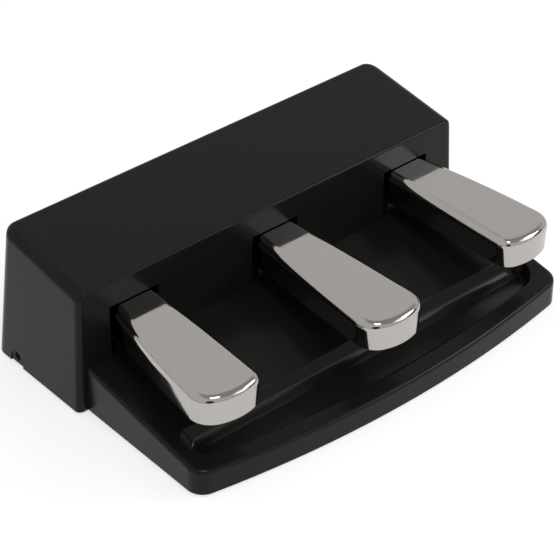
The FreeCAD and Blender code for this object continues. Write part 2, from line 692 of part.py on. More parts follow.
def pedal(side):
    kind = abs(side)
    tipY = MIDDLE_TIP_Y if kind == 0 else OUTER_TIP_Y
    block = pedalBlock(kind, 0, PEDAL_TOP, SHANK_REAR_Y)
    neckZ = PEDAL_TOP - NECK_SKIRT
    noseZ = PEDAL_TOP - TIP_SKIRT
    front, rear = tipY - CUT_FAR, SHANK_REAR_Y + CUT_FAR
    kept = [(front, noseZ), (0, neckZ), (rear, neckZ), (rear, BIG), (front, BIG)]
    block = block.common(prismX(kept, -BIG, BIG))

    def rim(edge):
        m = middle(edge)
        if abs(m.z - PEDAL_TOP) > TOUCH or m.y > SHANK_REAR_Y - TOUCH:
            return None
        first, last = edge.valueAt(edge.FirstParameter), edge.valueAt(edge.LastParameter)
        span = abs(first.x - last.x)
        if m.y > -2 * PEDAL_STATION - TOUCH or span < INNER_CORNER_R / 2:
            return PEDAL_SIDE_EDGE_R
        if span > 2 * TIP_CORNER_R:
            return PEDAL_TIP_EDGE_R
        grow = (PEDAL_SIDE_EDGE_R, PEDAL_TIP_EDGE_R)
        return grow if first.y > last.y else grow[::-1]

    block = roundEdges(block, rim)
    hollow = pedalBlock(kind, PEDAL_WALL, PEDAL_TOP - PEDAL_PLATE, rear)
    shell = block.cut(hollow)
    for y in LEVER_SCREW_YS:
        hole = rodZ(0, y, ARM_TOP - CUT_OVER, PEDAL_TOP + CUT_OVER, LEVER_SCREW_R + HOLE_CLEAR)
        depth = LEVER_SCREW_HEAD_R - LEVER_SCREW_R
        wide = LEVER_SCREW_HEAD_R + HOLE_CLEAR / 2
        sink = Part.makeCone(LEVER_SCREW_R, wide, depth, V(0, y, PEDAL_TOP - depth))
        shell = shell.cut(fuse([hole, sink]))
    return placed(tip(mirrored(shell, side), TILT_DEG), side)


def leverScrews(side):
    screws = []
    for y in LEVER_SCREW_YS:
        sink = LEVER_SCREW_HEAD_R - LEVER_SCREW_R
        thread = LEVER_SCREW_R - THREAD_CLEAR
        head = Part.makeCone(thread, LEVER_SCREW_HEAD_R, sink, V(0, y, PEDAL_TOP - sink))
        shank = rodZ(0, y, PEDAL_TOP - LEVER_SCREW_LENGTH, PEDAL_TOP - sink, thread)
        drive = rodZ(0, y, PEDAL_TOP - LEVER_DRIVE_DEPTH, PEDAL_TOP + CUT_OVER, LEVER_DRIVE_R)
        screws.append(fuse([head, shank]).cut(drive))
    return placed(tip(group(screws), TILT_DEG), side)


def leverArm(side):
    bar = box(-ARM_HALF, ARM_HALF, ARM_FRONT_Y, ARM_REAR_Y, ARM_BOTTOM, ARM_TOP)
    hub = rodX(-HUB_HALF, HUB_HALF, PIVOT_Y, PIVOT_Z, HUB_R)
    arm = fuse([bar, hub]).cut(rodX(-BIG, BIG, PIVOT_Y, PIVOT_Z, BUSH_R))
    for y in LEVER_SCREW_YS:
        depth = LEVER_SCREW_LENGTH + SCREW_TIP_ROOM
        arm = arm.cut(rodZ(0, y, PEDAL_TOP - depth, PEDAL_TOP, LEVER_SCREW_R))
    arm = arm.cut(rodZ(0, flagMidY(), ARM_BOTTOM - CUT_OVER, ARM_TOP + CUT_OVER, FLAG_PEG_R + THREAD_CLEAR))
    return placed(tip(arm, TILT_DEG), side)


def pivotBush(side):
    half = HUB_HALF + BUSH_LIP
    tube = rodX(-half, half, PIVOT_Y, PIVOT_Z, BUSH_R)
    tube = tube.cut(rodX(-BIG, BIG, PIVOT_Y, PIVOT_Z, PIN_R + PIN_RUNNING))
    return placed(tube, side)


def flagMidY():
    return ARM_REAR_Y - FLAG_WIDTH / 2


def sensorFlag(side):
    y0, y1 = ARM_REAR_Y - FLAG_WIDTH, ARM_REAR_Y
    foot = box(-FLAG_FOOT_HALF, FLAG_FOOT_HALF, y0, y1, ARM_BOTTOM - FLAG_FOOT, ARM_BOTTOM)
    lowZ = BOARD_TOP + SENSOR_BASE + FLAG_CLEAR
    blade = box(-FLAG_THICKNESS / 2, FLAG_THICKNESS / 2, y0, y1, lowZ, ARM_BOTTOM - FLAG_FOOT)
    peg = rodZ(0, flagMidY(), ARM_BOTTOM, ARM_BOTTOM + FLAG_PEG_LENGTH, FLAG_PEG_R)
    rootZ = ARM_BOTTOM - FLAG_FOOT
    corners = [V(-FLAG_GUSSET_HALF, y0, rootZ), V(FLAG_GUSSET_HALF, y0, rootZ),
               V(0, y0, rootZ - FLAG_GUSSET_DROP)]
    web = Part.Face(Part.makePolygon(corners + corners[:1])).extrude(V(0, FLAG_THICKNESS, 0))
    return placed(tip(fuse([foot, blade, peg, web]), TILT_DEG), side)


# Fixed pieces of one pedal
def feltBottom():
    rearY = FRAME_FRONT_Y + FRAME_POST
    return tippedZ(rearY, PEDAL_TOP, TILT_DEG) + STOP_CLEAR


def frame(side):
    strapZ = feltBottom() + FELT_THICKNESS
    postRear = FRAME_FRONT_Y + FRAME_POST
    pieces = [box(-FRAME_HALF, FRAME_HALF, FRAME_FRONT_Y, FRAME_REAR_Y, PLATE_TOP, FRAME_TOP),
              box(-FRAME_HALF, FRAME_HALF, FRAME_FRONT_Y, postRear, strapZ, strapZ + FRAME_THICKNESS)]
    for s in (-1, 1):
        x0, x1 = sorted((s * FRAME_INNER_HALF, s * FRAME_HALF))
        pieces.append(box(x0, x1, FRAME_FRONT_Y, postRear, PLATE_TOP, strapZ + FRAME_THICKNESS))
        pieces.append(box(x0, x1, FRAME_FRONT_Y, FRAME_REAR_Y, PLATE_TOP, PLATE_TOP + FRAME_RAIL_HEIGHT))
        pieces.append(box(x0, x1, FRAME_REAR_Y - FRAME_EAR, FRAME_REAR_Y, PLATE_TOP, PIVOT_Z))
        pieces.append(rodX(x0, x1, PIVOT_Y, PIVOT_Z, FRAME_EAR_R))
    body = fuse(pieces)
    body = body.cut(rodX(-BIG, BIG, PIVOT_Y, PIVOT_Z, PIN_R + PIN_FIXED))
    low, high = PLATE_TOP - CUT_OVER, FRAME_TOP + CUT_OVER
    holes = [rodZ(x, y, low, high, FRAME_SCREW_R) for x, y in frameScrewPoints(0)]
    holes += [rodZ(0, y, low, high, BLOCK_PEG_R + THREAD_CLEAR) for y in blockPegs()]
    return placed(body.cut(group(holes)), side)


def blockPegs():
    return [FRAME_FRONT_Y + CUSHION_DEPTH / 2, SPRING_Y]


def cushionTop():
    frontY = FRAME_FRONT_Y + BLOCK_SETBACK
    return tippedZ(frontY, ARM_BOTTOM, TILT_DEG + TRAVEL_DEG) - STOP_CLEAR


def seatBlock(side):
    y0 = FRAME_FRONT_Y + BLOCK_SETBACK
    postTop = cushionTop() - CUSHION_THICKNESS
    slab = box(-BLOCK_HALF, BLOCK_HALF, y0, SPRING_Y + BLOCK_HALF, FRAME_TOP, FRAME_TOP + BLOCK_SLAB)
    post = box(-CUSHION_HALF, CUSHION_HALF, y0, y0 + CUSHION_DEPTH, FRAME_TOP, postTop)
    drum = rodZ(0, SPRING_Y, FRAME_TOP, SPRING_SEAT_Z, BLOCK_HALF)
    spigotR = SPRING_MEAN_R - SPRING_WIRE_R - SPRING_SPIGOT_CLEAR
    spigot = rodZ(0, SPRING_Y, SPRING_SEAT_Z, SPRING_SEAT_Z + SPRING_SPIGOT, spigotR)
    pegs = [rodZ(0, y, PLATE_TOP, FRAME_TOP, BLOCK_PEG_R) for y in blockPegs()]
    return placed(fuse([slab, post, drum, spigot] + pegs), side)


def lowerCushion(side):
    y0 = FRAME_FRONT_Y + BLOCK_SETBACK
    top = cushionTop()
    pad = box(-CUSHION_HALF, CUSHION_HALF, y0, y0 + CUSHION_DEPTH, top - CUSHION_THICKNESS, top)
    return placed(pad, side)


def upperFelt(side):
    z = feltBottom()
    pad = box(-FELT_HALF, FELT_HALF, FRAME_FRONT_Y, FRAME_FRONT_Y + FRAME_POST, z, z + FELT_THICKNESS)
    return placed(pad, side)


def pivotPin(side):
    tailX = -FRAME_HALF - PIN_TAIL
    shaft = rodX(tailX, FRAME_HALF, PIVOT_Y, PIVOT_Z, PIN_R)
    head = rodX(FRAME_HALF, FRAME_HALF + PIN_HEAD, PIVOT_Y, PIVOT_Z, PIN_HEAD_R)
    grooveX = -FRAME_HALF - PIN_GROOVE_OFFSET
    groove = rodX(grooveX - CLIP_THICKNESS - 2 * CLIP_CLEAR, grooveX, PIVOT_Y, PIVOT_Z, PIN_R + CUT_OVER)
    groove = groove.cut(rodX(-BIG, BIG, PIVOT_Y, PIVOT_Z, PIN_R - PIN_GROOVE_DEPTH))
    return placed(fuse([shaft, head]).cut(groove), side)


def pivotClip(side):
    x1 = -FRAME_HALF - PIN_GROOVE_OFFSET - CLIP_CLEAR
    x0 = x1 - CLIP_THICKNESS
    ring = rodX(x0, x1, PIVOT_Y, PIVOT_Z, PIN_R + CLIP_LIP)
    ring = ring.cut(rodX(-BIG, BIG, PIVOT_Y, PIVOT_Z, PIN_R - PIN_GROOVE_DEPTH + CLIP_CLEAR))
    mouth = box(x0 - CUT_OVER, x1 + CUT_OVER, PIVOT_Y - CLIP_MOUTH_HALF, PIVOT_Y + CLIP_MOUTH_HALF,
                PIVOT_Z, PIVOT_Z + 2 * PIN_R)
    return placed(ring.cut(mouth), side)


def springHeights():
    # Height of the wire's centre after each half turn: close ends, an even pitch between them.
    low = SPRING_SEAT_Z + SPRING_WIRE_R + STOP_CLEAR
    underArm = tippedZ(SPRING_Y - SPRING_MEAN_R - SPRING_WIRE_R, ARM_BOTTOM, TILT_DEG)
    high = underArm - SPRING_WIRE_R - STOP_CLEAR
    halves = int(2 * SPRING_TURNS)
    endPitch = 2 * SPRING_WIRE_R + SPRING_END_GAP
    openHalves = halves - 2 * SPRING_END_HALVES
    openStep = (high - low - SPRING_END_HALVES * endPitch) / openHalves
    closed = [endPitch / 2] * SPRING_END_HALVES
    steps = closed + [openStep] * openHalves + closed
    heights = [low]
    for step in steps:
        heights.append(heights[-1] + step)
    return heights


def springPath():
    heights = springHeights()
    points = []
    for i in range(len(heights) - 1):
        for part in range(2):
            z = heights[i] + (heights[i + 1] - heights[i]) * part / 2
            points.append((math.pi * (i + part / 2), z))
    points.append((math.pi * (len(heights) - 1), heights[-1]))
    return points


def returnSpring(side):
    path = springPath()

    def at(angle, z):
        return V(SPRING_MEAN_R * math.cos(angle), SPRING_Y + SPRING_MEAN_R * math.sin(angle), z)

    def runAt(i):
        angle = path[i][0]
        before = path[max(i - 1, 0)]
        after = path[min(i + 1, len(path) - 1)]
        climb = (after[1] - before[1]) / (after[0] - before[0]) / SPRING_MEAN_R
        return V(-math.sin(angle), math.cos(angle), climb).normalize()

    edges = []
    for i in range(len(path) - 1):
        a, b = at(*path[i]), at(*path[i + 1])
        edges += biarc(a, runAt(i), b, runAt(i + 1))
    spine = Part.Wire(edges)
    start = runAt(0)
    ring = Part.Wire(Part.makeCircle(SPRING_WIRE_R, at(*path[0]), start))
    coil = spine.makePipeShell([ring], True, False)
    return placed(coil, side)


def biarc(p0, t0, p1, t1):
    # Two arcs that leave p0 along t0, meet smoothly and reach p1 along t1.
    chord = p1 - p0
    total = t0 + t1
    a = total.dot(total) - 4
    b = -2 * chord.dot(total)
    c = chord.dot(chord)
    if abs(a) < 1e-12:
        d = -c / b
    else:
        d = (-b - math.sqrt(b * b - 4 * a * c)) / (2 * a)
        if d < 0:
            d = (-b + math.sqrt(b * b - 4 * a * c)) / (2 * a)
    q0, q1 = p0 + t0 * d, p1 - t1 * d
    joint = (q0 + q1) * 0.5
    return [arcThrough(p0, t0, joint), arcThrough(joint, (q1 - q0).normalize(), p1)]


def arcThrough(start, run, end):
    chord = end - start
    normal = chord - run * chord.dot(run)
    if normal.Length < 1e-6 * chord.Length:
        return Part.makeLine(start, end)
    normal.normalize()
    radius = chord.dot(chord) / (2 * chord.dot(normal))
    centre = start + normal * radius
    mid = (start + end) * 0.5 - centre
    if chord.dot(run) < 0:
        mid = mid * -1
    return Part.Arc(start, centre + mid.normalize() * radius, end).toShape()


def springGap():
    # Least gap between one turn's wire and the next, over points along the path.
    path = springPath()
    dense = []
    for (a0, z0), (a1, z1) in zip(path, path[1:]):
        shares = [k / SPRING_SAMPLES for k in range(SPRING_SAMPLES)]
        dense += [(a0 + (a1 - a0) * k, z0 + (z1 - z0) * k) for k in shares]
    points = [V(SPRING_MEAN_R * math.cos(a), SPRING_MEAN_R * math.sin(a), z) for a, z in dense]
    least = BIG
    for i, p in enumerate(points):
        for j in range(i + 2 * SPRING_SAMPLES, len(points)):
            least = min(least, p.distanceToPoint(points[j]))
    return least - 2 * SPRING_WIRE_R


def lightSensor(side):
    y0 = BOARD_MID_Y - SENSOR_DEPTH / 2
    y1 = y0 + SENSOR_DEPTH
    base = box(-SENSOR_HALF, SENSOR_HALF, y0, y1, BOARD_TOP, BOARD_TOP + SENSOR_BASE)
    pieces = [base]
    for s in (-1, 1):
        x0, x1 = sorted((s * SENSOR_SLOT / 2, s * (SENSOR_SLOT / 2 + SENSOR_PRONG)))
        pieces.append(box(x0, x1, y0, y1, BOARD_TOP, BOARD_TOP + SENSOR_HEIGHT))
    return placed(fuse(pieces), side)


# Board, spacers, header and gland
def circuitBoard():
    board = box(-BOARD_HALF, BOARD_HALF, BOARD_REAR_Y - BOARD_DEPTH, BOARD_REAR_Y, BOARD_Z, BOARD_TOP)
    low, high = BOARD_Z - CUT_OVER, BOARD_TOP + CUT_OVER
    return board.cut(group([rodZ(x, BOARD_MID_Y, low, high, BOARD_SCREW_R + HOLE_CLEAR) for x in SPACER_XS]))


def boardSpacers():
    spacers = []
    for x in SPACER_XS:
        post = rodZ(x, BOARD_MID_Y, PLATE_TOP, BOARD_Z, SPACER_R)
        rivet = rodZ(x, BOARD_MID_Y, PLATE_LIFT, PLATE_TOP, SPACER_RIVET_R)
        depth = BOARD_SCREW_LENGTH - BOARD_THICKNESS + SCREW_TIP_ROOM
        hole = rodZ(x, BOARD_MID_Y, BOARD_Z - depth, BOARD_Z + CUT_OVER, BOARD_SCREW_R)
        spacers.append(fuse([post, rivet]).cut(hole))
    return group(spacers)


def boardScrews():
    screws = []
    for x in SPACER_XS:
        head = rodZ(x, BOARD_MID_Y, BOARD_TOP, BOARD_TOP + BOARD_SCREW_HEAD, BOARD_SCREW_HEAD_R)
        shank = rodZ(x, BOARD_MID_Y, BOARD_TOP - BOARD_SCREW_LENGTH, BOARD_TOP, BOARD_SCREW_R - THREAD_CLEAR)
        screws.append(fuse([head, shank]))
    return group(screws)


def cordHeader():
    dx, dy, dz = HEADER_SIZE
    x0, y0 = HEADER_X - dx / 2, BOARD_MID_Y - dy / 2
    shell = box(x0, x0 + dx, y0, y0 + dy, BOARD_TOP, BOARD_TOP + dz)
    w = HEADER_WALL
    room = box(x0 + w, x0 + dx - w, y0 + w, y0 + dy - w, BOARD_TOP + 2 * w, BOARD_TOP + dz + CUT_OVER)
    shell = shell.cut(room)
    pinTop = BOARD_TOP + dz - HEADER_PIN_DROP
    pins = [rodZ(HEADER_X + HEADER_PIN_PITCH * k, BOARD_MID_Y, BOARD_TOP + w, pinTop, HEADER_PIN_R)
            for k in (-1.5, -0.5, 0.5, 1.5)]
    return fuse([shell] + pins)


def cordGland():
    flangeTop = NOTCH_HEIGHT + GLAND_FLANGE_LIP
    innerX = -sideX(flangeTop) + HOUSING_WALL * math.hypot(1, SIDE_DRAFT) + STOP_CLEAR
    outerX = -sideX(0) + GLAND_RECESS
    width = NOTCH_WIDTH - 2 * GLAND_CLEAR
    neck = archX(outerX, innerX, NOTCH_Y, width, NOTCH_HEIGHT - GLAND_CLEAR, PLATE_LIFT)
    reach = NOTCH_WIDTH / 2 + GLAND_FLANGE_LIP
    flange = box(innerX, innerX + GLAND_FLANGE, NOTCH_Y - reach, NOTCH_Y + reach, PLATE_TOP + STOP_CLEAR,
                 flangeTop)
    body = fuse([neck, flange])
    z = boreZ()
    body = body.cut(rodX(-BIG, BIG, NOTCH_Y, z, CORD_BORE_R))
    return body.cut(box(-plateHalf() - GLAND_CLEAR, BIG, -BIG, BIG, -BIG, PLATE_TOP + STOP_CLEAR))


def boreZ():
    return (NOTCH_HEIGHT - GLAND_CLEAR + PLATE_TOP + STOP_CLEAR) / 2


def save(name, shape):
    shape = shape.copy()
    shape.translate(ORIGIN_SHIFT)
    solids = shape.Solids
    if len(solids) == 1:
        shape = solids[0]
    shape.exportStep("parts/%s.step" % name)
    b = shape.BoundBox
    print("%-22s solids %2d valid %s volume %10.1f  x %.1f %.1f y %.1f %.1f z %.2f %.2f"
          % (name, len(solids), shape.isValid(), shape.Volume, b.XMin, b.XMax, b.YMin, b.YMax,
             b.ZMin, b.ZMax))


os.makedirs("parts", exist_ok=True)
save("housing_cover", housingCover())
save("base_apron", apron())
save("bottom_plate", bottomPlate())
save("rubber_feet", rubberFeet())
save("cover_screws", plateScrews(COVER_BOSSES, COVER_SCREW_LENGTH))
save("apron_screws", plateScrews(APRON_BOSSES, APRON_SCREW_LENGTH))
save("frame_screws", frameScrews())
save("circuit_board", circuitBoard())
save("board_spacers", boardSpacers())
save("board_screws", boardScrews())
save("cord_header", cordHeader())
save("cord_gland", cordGland())
for word, side in SIDES.items():
    save("pedal_" + word, pedal(side))
    save("lever_arm_" + word, leverArm(side))
    save("lever_screws_" + word, leverScrews(side))
    save("pivot_bush_" + word, pivotBush(side))
    save("sensor_flag_" + word, sensorFlag(side))
    save("pedal_frame_" + word, frame(side))
    save("seat_block_" + word, seatBlock(side))
    save("lower_cushion_" + word, lowerCushion(side))
    save("upper_felt_" + word, upperFelt(side))
    save("pivot_pin_" + word, pivotPin(side))
    save("pivot_clip_" + word, pivotClip(side))
    save("return_spring_" + word, returnSpring(side))
    save("light_sensor_" + word, lightSensor(side))
print("least gap between spring turns %.2f mm" % springGap())
print("pivot at y %.3f z %.3f" % (PIVOT_Y + ORIGIN_SHIFT.y, PIVOT_Z + ORIGIN_SHIFT.z))
print("cord bore at y %.3f z %.3f" % (NOTCH_Y + ORIGIN_SHIFT.y, boreZ() + ORIGIN_SHIFT.z))
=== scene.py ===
import math

import bmesh
import bpy
from mathutils import Matrix, Vector


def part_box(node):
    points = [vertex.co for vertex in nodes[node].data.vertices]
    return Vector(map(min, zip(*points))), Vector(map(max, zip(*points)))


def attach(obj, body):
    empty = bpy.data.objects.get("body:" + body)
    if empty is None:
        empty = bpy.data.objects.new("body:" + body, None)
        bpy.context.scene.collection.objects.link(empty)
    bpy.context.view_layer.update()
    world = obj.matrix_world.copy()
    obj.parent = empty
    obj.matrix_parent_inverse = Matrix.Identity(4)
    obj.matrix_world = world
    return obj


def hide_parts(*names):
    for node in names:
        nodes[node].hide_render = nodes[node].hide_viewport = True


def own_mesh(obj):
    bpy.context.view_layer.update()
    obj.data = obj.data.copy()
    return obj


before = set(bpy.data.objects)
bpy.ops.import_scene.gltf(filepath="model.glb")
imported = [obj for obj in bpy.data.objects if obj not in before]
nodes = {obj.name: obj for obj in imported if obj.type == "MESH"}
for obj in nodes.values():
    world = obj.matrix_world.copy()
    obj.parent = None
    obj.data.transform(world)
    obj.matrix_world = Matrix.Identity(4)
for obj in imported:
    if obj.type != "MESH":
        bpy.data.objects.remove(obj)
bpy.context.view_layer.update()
sides = ("left", "middle", "right")
mm = 0.001


def linear(hexColour):  # an sRGB hex value turned to a linear colour
    parts = [int(hexColour[i:i + 2], 16) / 255 for i in (1, 3, 5)]
    return tuple(c / 12.92 if c <= 0.04045 else ((c + 0.055) / 1.055) ** 2.4 for c in parts) + (1.0,)


def addNode(tree, kind, settings=None, values=None, links=None):
    node = tree.nodes.new("ShaderNode" + kind)
    for name, value in (settings or {}).items():
        setattr(node, name, value)
    for name, value in (values or {}).items():
        node.inputs[name].default_value = value
    for name, source in (links or {}).items():
        tree.links.new(source, node.inputs[name])
    return node


def startMaterial(name, **shader):  # a material with its principled shader and its object coordinates
    material = bpy.data.materials.new(name)
    material.use_nodes = True
    tree = material.node_tree
    bsdf = tree.nodes["Principled BSDF"]
    for socket, value in shader.items():
        bsdf.inputs[socket.replace("_", " ")].default_value = value
    place = addNode(tree, "TexCoord").outputs["Object"]
    return material, tree, bsdf, place


def perSize(size):  # the scale at which a noise texture's cells measure this many millimetres
    return 1 / (size * mm)


def spread(low, high):  # map range values that stretch a noise, mostly 0.3 to 0.7, over low to high
    return {"From Min": 0.3, "From Max": 0.7, "To Min": low, "To Max": high}


# Sizes and depths in the finishes are in millimetres.
# Black ABS, injection moulded in a spark-eroded tool: deep black, with the satin sheen of a very fine
# texture. The texture's real grain is about 0.1 mm, too fine for the render, so it is drawn at 0.7 mm.
absFinish = {"colours": ("#141513", "#181817"), "specular": 0.125, "ior": 1.53, "rough": (0.19, 0.25),
             "cloud": 55.0, "grain": 0.7, "speckle": 0.012, "pitDepth": 0.02, "pitStrength": 0.10,
             "wave": 70.0, "sinkDepth": 0.06}


def makeMouldedAbs():
    s = absFinish
    material, tree, bsdf, place = startMaterial("mouldedBlackAbs", Specular_IOR_Level=s["specular"],
                                                IOR=s["ior"])
    cloud = addNode(tree, "TexNoise", None, {"Scale": perSize(s["cloud"]), "Detail": 3.0},
                    {"Vector": place})
    tint = addNode(tree, "Mix", {"data_type": "RGBA"},
                   {6: linear(s["colours"][0]), 7: linear(s["colours"][1])}, {0: cloud.outputs["Fac"]})
    tree.links.new(tint.outputs[2], bsdf.inputs["Base Color"])
    grain = addNode(tree, "TexNoise", None,
                    {"Scale": perSize(s["grain"]), "Detail": 2.0, "Roughness": 0.6}, {"Vector": place})
    satin = addNode(tree, "MapRange", None, spread(*s["rough"]), {"Value": cloud.outputs["Fac"]})
    speckle = addNode(tree, "MapRange", None, spread(-s["speckle"], s["speckle"]),
                      {"Value": grain.outputs["Fac"]})
    rough = addNode(tree, "Math", {"operation": "ADD"}, None,
                    {0: satin.outputs[0], 1: speckle.outputs[0]})
    tree.links.new(rough.outputs[0], bsdf.inputs["Roughness"])
    wave = addNode(tree, "TexNoise", None, {"Scale": perSize(s["wave"]), "Detail": 1.0},
                   {"Vector": place})
    sink = addNode(tree, "Bump", None, {"Strength": 1.0, "Distance": s["sinkDepth"] * mm},
                   {"Height": wave.outputs["Fac"]})
    pits = addNode(tree, "Bump", None, {"Strength": s["pitStrength"], "Distance": s["pitDepth"] * mm},
                   {"Height": grain.outputs["Fac"], "Normal": sink.outputs["Normal"]})
    tree.links.new(pits.outputs["Normal"], bsdf.inputs["Normal"])
    return material


# Chrome plated and polished: a mirror with the faint waviness of the polishing wheel and a thin haze
# with long fine lines, 0.9 mm apart and 30 mm long.
chromeFinish = {"colour": "#b3b0ad", "rough": (0.05, 0.11), "haze": 9.0, "lineGap": 0.9,
                "lineLength": 30.0, "ripple": 18.0, "rippleDepth": 0.03}


def makeChromePlate():
    s = chromeFinish
    material, tree, bsdf, place = startMaterial("polishedChromePlate", Metallic=1.0,
                                                Base_Color=linear(s["colour"]))
    haze = addNode(tree, "TexNoise", None, {"Scale": perSize(s["haze"]), "Detail": 4.0},
                   {"Vector": place})
    along = addNode(tree, "Mapping", None,
                    {"Scale": (perSize(s["lineGap"]), perSize(s["lineLength"]), 1.0)},
                    {"Vector": place})
    lines = addNode(tree, "TexNoise", None, {"Scale": 1.0, "Detail": 2.0},
                    {"Vector": along.outputs["Vector"]})
    both = addNode(tree, "Math", {"operation": "ADD"}, None,
                   {0: haze.outputs["Fac"], 1: lines.outputs["Fac"]})
    rough = addNode(tree, "MapRange", None,
                    {"From Min": 0.7, "From Max": 1.3, "To Min": s["rough"][0], "To Max": s["rough"][1]},
                    {"Value": both.outputs[0]})
    tree.links.new(rough.outputs[0], bsdf.inputs["Roughness"])
    ripple = addNode(tree, "TexNoise", None, {"Scale": perSize(s["ripple"]), "Detail": 1.0},
                     {"Vector": place})
    bump = addNode(tree, "Bump", None, {"Strength": 1.0, "Distance": s["rippleDepth"] * mm},
                   {"Height": ripple.outputs["Fac"]})
    tree.links.new(bump.outputs["Normal"], bsdf.inputs["Normal"])
    return material


# Bright steels. Each is a metal with its own colour, lay of machining marks and roughness, under a film
# that darkens it in places.
steels = {
    "arm_steel": {"name": "milledBarSteel", "colour": "#9b9a97", "lay": (0.6, 25.0, 0.6),
                  "rough": (0.28, 0.44)},
    "pin_steel": {"name": "groundPinSteel", "colour": "#b4b4b6", "lay": (0.4, 6.0, 6.0),
                  "rough": (0.16, 0.26)},
    "zinc_steel": {"name": "zincPlatedSheet", "colour": "#a9abb0", "lay": (7.0, 7.0, 7.0),
                   "rough": (0.30, 0.45)},
    "screw_steel": {"name": "zincPlatedScrews", "colour": "#a6a8ac", "lay": (1.2, 1.2, 1.2),
                    "rough": (0.24, 0.38)},
    "spring_steel": {"name": "drawnSpringWire", "colour": "#6f6c69", "lay": (0.8, 0.8, 0.8),
                     "rough": (0.26, 0.42)},
}
steelSkin = {"film": 11.0, "filmShade": 0.72, "markDepth": 0.02, "markStrength": 0.5}


def makeSteel(slot):
    s = steels[slot]
    material, tree, bsdf, place = startMaterial(s["name"], Metallic=1.0)
    lay = addNode(tree, "Mapping", None, {"Scale": tuple(perSize(size) for size in s["lay"])},
                  {"Vector": place})
    marks = addNode(tree, "TexNoise", None, {"Scale": 1.0, "Detail": 4.0, "Roughness": 0.65},
                    {"Vector": lay.outputs["Vector"]})
    film = addNode(tree, "TexNoise", None, {"Scale": perSize(steelSkin["film"]), "Detail": 2.0},
                   {"Vector": place})
    clean = linear(s["colour"])
    dark = tuple(steelSkin["filmShade"] * c for c in clean[:3]) + (1.0,)
    tint = addNode(tree, "Mix", {"data_type": "RGBA"}, {6: dark, 7: clean}, {0: film.outputs["Fac"]})
    tree.links.new(tint.outputs[2], bsdf.inputs["Base Color"])
    rough = addNode(tree, "MapRange", None, spread(*s["rough"]), {"Value": marks.outputs["Fac"]})
    tree.links.new(rough.outputs[0], bsdf.inputs["Roughness"])
    bump = addNode(tree, "Bump", None,
                   {"Strength": steelSkin["markStrength"], "Distance": steelSkin["markDepth"] * mm},
                   {"Height": marks.outputs["Fac"]})
    tree.links.new(bump.outputs["Normal"], bsdf.inputs["Normal"])
    return material


# Black powder coat on the bottom plate: the pebbled skin of baked powder, about 2 mm from dimple to
# dimple.
coatFinish = {"colour": "#1b1b1c", "rough": (0.42, 0.55), "dimple": 2.0, "dimpleDepth": 0.06}


def makePowderCoat():
    s = coatFinish
    material, tree, bsdf, place = startMaterial("powderCoatedSteel", Base_Color=linear(s["colour"]),
                                                IOR=1.5)
    dimples = addNode(tree, "TexNoise", None, {"Scale": perSize(s["dimple"]), "Detail": 1.0},
                      {"Vector": place})
    rough = addNode(tree, "MapRange", None, spread(*s["rough"]), {"Value": dimples.outputs["Fac"]})
    tree.links.new(rough.outputs[0], bsdf.inputs["Roughness"])
    bump = addNode(tree, "Bump", None, {"Strength": 0.8, "Distance": s["dimpleDepth"] * mm},
                   {"Height": dimples.outputs["Fac"]})
    tree.links.new(bump.outputs["Normal"], bsdf.inputs["Normal"])
    return material


# Moulded plastics inside the housing. Each has its colour, a second shade that drifts across it, its
# gloss, which the grain varies, and the size of that grain.
plastics = {
    "bush_plastic": {"name": "mouldedAcetal", "colours": ("#e9e6dc", "#dedacd"), "gloss": 0.30,
                     "grain": 0.9},
    "block_plastic": {"name": "mouldedNylon", "colours": ("#444446", "#4c4c4e"), "gloss": 0.42,
                      "grain": 1.1},
    "sensor_plastic": {"name": "mouldedSensorShell", "colours": ("#1f1f21", "#262629"), "gloss": 0.46,
                       "grain": 0.6},
    "header_plastic": {"name": "mouldedHeaderNylon", "colours": ("#ece5d0", "#e0d7bd"), "gloss": 0.34,
                       "grain": 0.8},
}
plasticSkin = {"drift": 14.0, "smoother": 0.05, "rougher": 0.07, "grainDepth": 0.03}


def makePlastic(slot):
    s = plastics[slot]
    material, tree, bsdf, place = startMaterial(s["name"], IOR=1.5, Subsurface_Weight=0.04)
    drift = addNode(tree, "TexNoise", None, {"Scale": perSize(plasticSkin["drift"]), "Detail": 2.0},
                    {"Vector": place})
    tint = addNode(tree, "Mix", {"data_type": "RGBA"},
                   {6: linear(s["colours"][0]), 7: linear(s["colours"][1])}, {0: drift.outputs["Fac"]})
    tree.links.new(tint.outputs[2], bsdf.inputs["Base Color"])
    grain = addNode(tree, "TexNoise", None, {"Scale": perSize(s["grain"]), "Detail": 2.0},
                    {"Vector": place})
    rough = addNode(tree, "MapRange", None,
                    spread(s["gloss"] - plasticSkin["smoother"], s["gloss"] + plasticSkin["rougher"]),
                    {"Value": grain.outputs["Fac"]})
    tree.links.new(rough.outputs[0], bsdf.inputs["Roughness"])
    bump = addNode(tree, "Bump", None, {"Strength": 0.4, "Distance": plasticSkin["grainDepth"] * mm},
                   {"Height": grain.outputs["Fac"]})
    tree.links.new(bump.outputs["Normal"], bsdf.inputs["Normal"])
    return material


# Green solder mask over glass cloth: a thin gloss film in which the cloth's 0.5 mm weave shows faintly.
boardFinish = {"colours": ("#1d5a2e", "#2a7040"), "weave": 0.5, "weaveDepth": 0.02}


